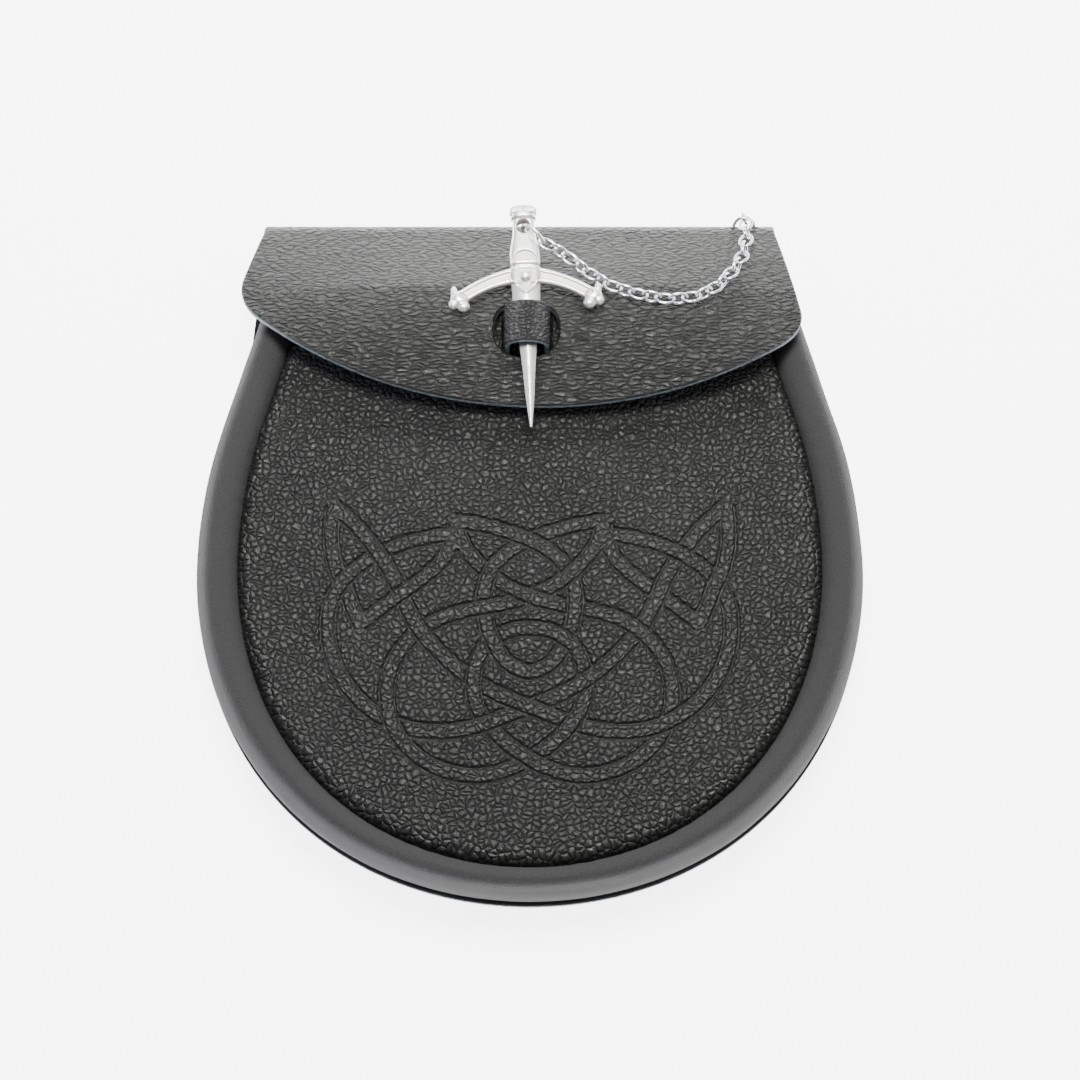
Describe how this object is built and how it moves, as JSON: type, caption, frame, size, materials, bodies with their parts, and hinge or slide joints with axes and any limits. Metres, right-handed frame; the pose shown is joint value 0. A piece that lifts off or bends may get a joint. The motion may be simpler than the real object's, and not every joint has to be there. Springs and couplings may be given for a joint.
{
  "type": "sporran pouch",
  "caption": "Round-bottomed leather belt pouch with a long curved flap, an interlace tooled on its front, and a dagger-shaped pin on a fine chain that holds the flap shut.",
  "frame": {"origin": "centre of the pouch's outline, on the surface that its back lies on", "axes": "+X across the pouch towards the chain's end, +Y from the round bottom up to the fold, +Z from its back to its front"},
  "size_m": [0.185, 0.2, 0.0373],
  "materials": {
    "pebbled_leather": "pebbled, semi-matte",
    "smooth_leather": "smooth, satin",
    "cast_silver": "cast, satin polished",
    "nickel_chain": "polished"
  },
  "bodies": {
    "root": {"back_and_flap": "pebbled_leather", "gusset": "smooth_leather", "front_panel": "pebbled_leather", "keeper_loop": "pebbled_leather", "dagger_pin": "cast_silver", "grip_ring": "cast_silver", "fold_ring": "nickel_chain", "link_01": "nickel_chain", "link_02": "nickel_chain", "link_03": "nickel_chain", "link_04": "nickel_chain", "link_05": "nickel_chain", "link_06": "nickel_chain", "link_07": "nickel_chain", "link_08": "nickel_chain", "link_09": "nickel_chain", "link_10": "nickel_chain", "link_11": "nickel_chain", "link_12": "nickel_chain", "link_13": "nickel_chain", "link_14": "nickel_chain", "link_15": "nickel_chain", "link_16": "nickel_chain", "link_17": "nickel_chain", "link_18": "nickel_chain", "link_19": "nickel_chain", "link_20": "nickel_chain", "link_21": "nickel_chain", "link_22": "nickel_chain", "link_23": "nickel_chain", "link_24": "nickel_chain"}
  },
  "joints": []
}
